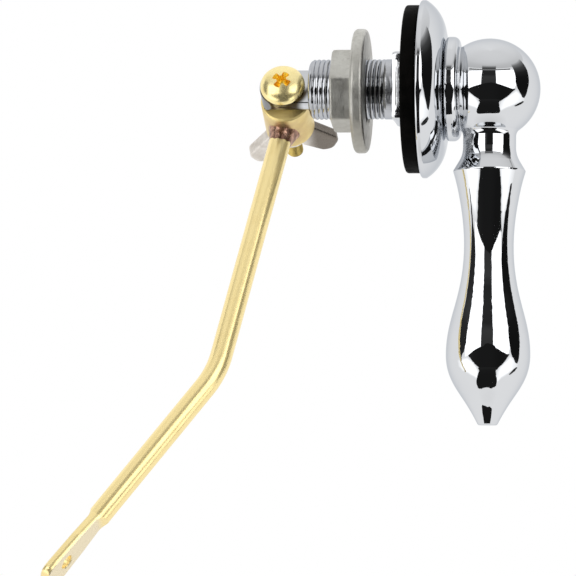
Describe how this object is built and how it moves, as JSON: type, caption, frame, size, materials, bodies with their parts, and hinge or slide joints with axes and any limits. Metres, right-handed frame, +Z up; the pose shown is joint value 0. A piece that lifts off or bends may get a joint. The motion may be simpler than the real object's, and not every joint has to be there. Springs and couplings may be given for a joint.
{
  "type": "cistern lever",
  "caption": "Toilet cistern flush lever with a chrome baluster grip, a domed escutcheon and threaded sleeve, and a bent brass arm clamped to the spindle.",
  "frame": {"origin": "on the spindle axis, where the gasket's rear face meets the cistern wall", "axes": "+X along the spindle from the cistern towards the user, +Z up, the grip hangs along -Z"},
  "size_m": [0.1051, 0.0691, 0.1339],
  "materials": {
    "chrome_plate": "mirror chrome plate on zinc",
    "black_rubber": "matte black moulded rubber",
    "grey_zinc": "matte grey as-cast zinc",
    "polished_brass": "polished brass",
    "turned_brass": "turned brass, heat-dulled",
    "drawn_brass": "satin drawn brass",
    "braze_metal": "dull copper-brown filler",
    "dull_steel": "dull plated steel"
  },
  "bodies": {
    "mounting": {"escutcheon_sleeve": "chrome_plate", "gasket": "black_rubber"},
    "nut": {"flange_nut": "grey_zinc"},
    "handle": {"lever_handle": "chrome_plate", "clamp_screw": "polished_brass"},
    "arm": {"arm_boss": "turned_brass", "arm_rod": "drawn_brass", "braze_fillet": "braze_metal"},
    "wing": {"wing_nut": "dull_steel"}
  },
  "joints": [
    {"name": "handle_turn", "type": "hinge", "parent": "mounting", "child": "handle", "pos_m": [0, 0, 0], "axis": [1, 0, 0], "continuous": true},
    {"name": "arm_swing", "type": "hinge", "parent": "handle", "child": "arm", "pos_m": [-0.0282, 0, 0], "axis": [0, -0.9063, 0.4226], "range_deg": [-200, 40]},
    {"name": "wing_nut_turn", "type": "hinge", "parent": "handle", "child": "wing", "pos_m": [-0.0282, 0, 0], "axis": [0, 0.9063, -0.4226], "range_deg": [0, 360]},
    {"name": "nut_travel", "type": "slide", "parent": "mounting", "child": "nut", "axis": [1, 0, 0], "range_m": [-0.0055, 0.006]}
  ]
}
